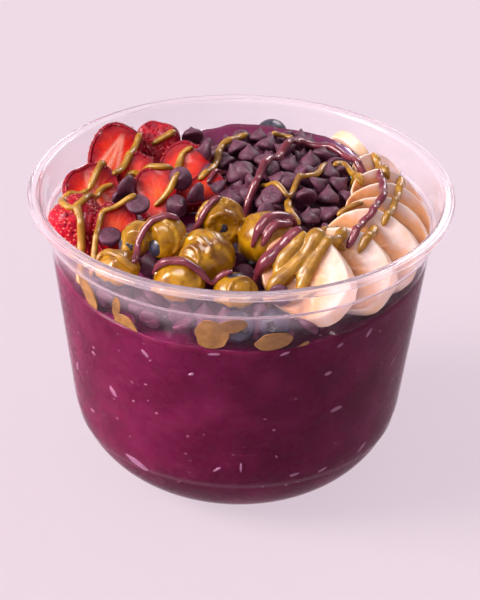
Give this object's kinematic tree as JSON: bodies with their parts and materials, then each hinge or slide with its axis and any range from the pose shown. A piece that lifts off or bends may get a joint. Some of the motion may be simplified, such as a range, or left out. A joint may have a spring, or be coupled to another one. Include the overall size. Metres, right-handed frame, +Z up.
{
  "type": "acai bowl",
  "caption": "Clear round plastic tub filled with acai and topped with sliced strawberries and banana, sauce-coated blueberries, a heap of chocolate chips and two drizzles.",
  "frame": {"origin": "centre of the tub's flat base, on the surface it stands on", "axes": "+Z up out of the tub's mouth; -Y is the front, where the coated berries are; +X towards the banana slices"},
  "size_m": [0.142, 0.142, 0.1063],
  "materials": {
    "clear_plastic": "clear, glossy",
    "acai": "smooth, moist",
    "dark_chocolate": "satin",
    "strawberry": "moist",
    "banana": "soft, slightly moist",
    "blueberry": "dull bloom"
  },
  "bodies": {
    "root": {"bowl": "clear_plastic", "acai": "acai", "chip_heap": "dark_chocolate", "strawberry_slice_1": "strawberry", "strawberry_slice_2": "strawberry", "strawberry_slice_3": "strawberry", "strawberry_slice_4": "strawberry", "strawberry_slice_5": "strawberry", "strawberry_slice_6": "strawberry", "strawberry_slice_7": "strawberry", "strawberry_slice_8": "strawberry", "strawberry_slice_9": "strawberry", "banana_slice_1": "banana", "banana_slice_2": "banana", "banana_slice_3": "banana", "banana_slice_4": "banana", "banana_slice_5": "banana", "banana_slice_6": "banana", "banana_slice_7": "banana", "banana_slice_8": "banana", "blueberry_1": "blueberry", "blueberry_2": "blueberry", "blueberry_3": "blueberry", "blueberry_4": "blueberry", "blueberry_5": "blueberry", "blueberry_6": "blueberry", "blueberry_7": "blueberry", "blueberry_8": "blueberry", "blueberry_9": "blueberry", "blueberry_10": "blueberry", "blueberry_11": "blueberry"}
  },
  "joints": []
}
